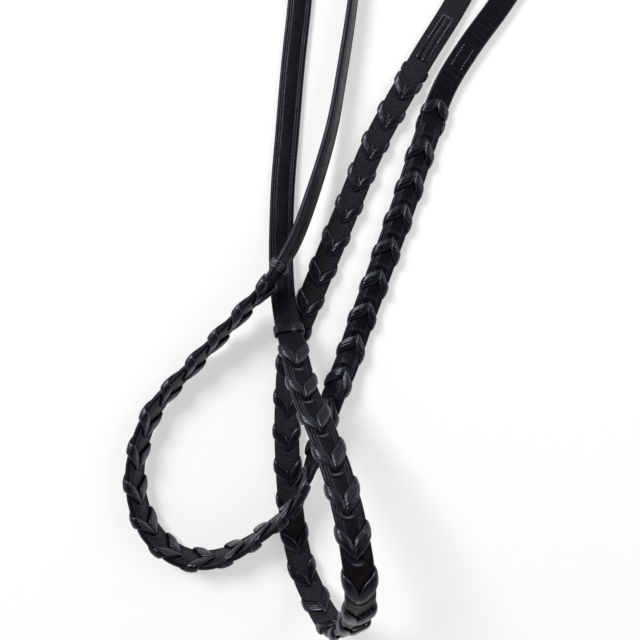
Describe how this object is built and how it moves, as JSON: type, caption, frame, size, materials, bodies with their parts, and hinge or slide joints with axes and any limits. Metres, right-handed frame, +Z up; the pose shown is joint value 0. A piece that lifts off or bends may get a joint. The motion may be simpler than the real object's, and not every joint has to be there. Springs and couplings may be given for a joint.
{
  "type": "laced leather reins",
  "caption": "Pair of black laced leather riding reins with hook-stud bit ends and a small centre buckle, laid down in two loops.",
  "frame": {"origin": "middle of the laid-out reins' bounding box, on the table under them", "axes": "+Z up from the table; +Y from the loops towards the bit ends and the hand ends; +X to the right seen from above"},
  "size_m": [0.3055, 0.7234, 0.0966],
  "materials": {
    "strap_leather": "semi-gloss grain side, matte suede flesh side",
    "lace_leather": "semi-gloss",
    "keeper_leather": "semi-gloss",
    "steel": "polished"
  },
  "bodies": {
    "reins": {"rein_strap_a": "strap_leather", "rein_strap_b": "strap_leather", "lace_left_a": "lace_leather", "lace_right_a": "lace_leather", "lace_start_band_a": "lace_leather", "lace_end_cross_a": "lace_leather", "lace_tail_a": "lace_leather", "lace_left_b": "lace_leather", "lace_right_b": "lace_leather", "lace_start_band_b": "lace_leather", "lace_end_cross_b": "lace_leather", "lace_tail_b": "lace_leather", "bit_keeper_a1": "keeper_leather", "bit_keeper_a2": "keeper_leather", "bit_keeper_b1": "keeper_leather", "bit_keeper_b2": "keeper_leather", "chape_keeper": "keeper_leather", "hook_stud_a": "steel", "hook_stud_b": "steel"},
    "frame": {"buckle_frame": "steel"},
    "tongue": {"buckle_tongue": "steel"},
    "runner": {"runner_keeper": "keeper_leather"}
  },
  "joints": [
    {"name": "frame_hinge", "type": "hinge", "parent": "reins", "child": "frame", "pos_m": [0.13928, 0.34249, 0.00477], "axis": [0.9991, 0.0426, 0], "range_deg": [0, 60]},
    {"name": "tongue_hinge", "type": "hinge", "parent": "frame", "child": "tongue", "pos_m": [0.13928, 0.34249, 0.00477], "axis": [0.9991, 0.0426, 0], "range_deg": [0, 45]},
    {"name": "runner_slide", "type": "slide", "parent": "reins", "child": "runner", "axis": [-0.0453, 0.9989, -0.007], "range_m": [-0.008, 0.009]}
  ]
}
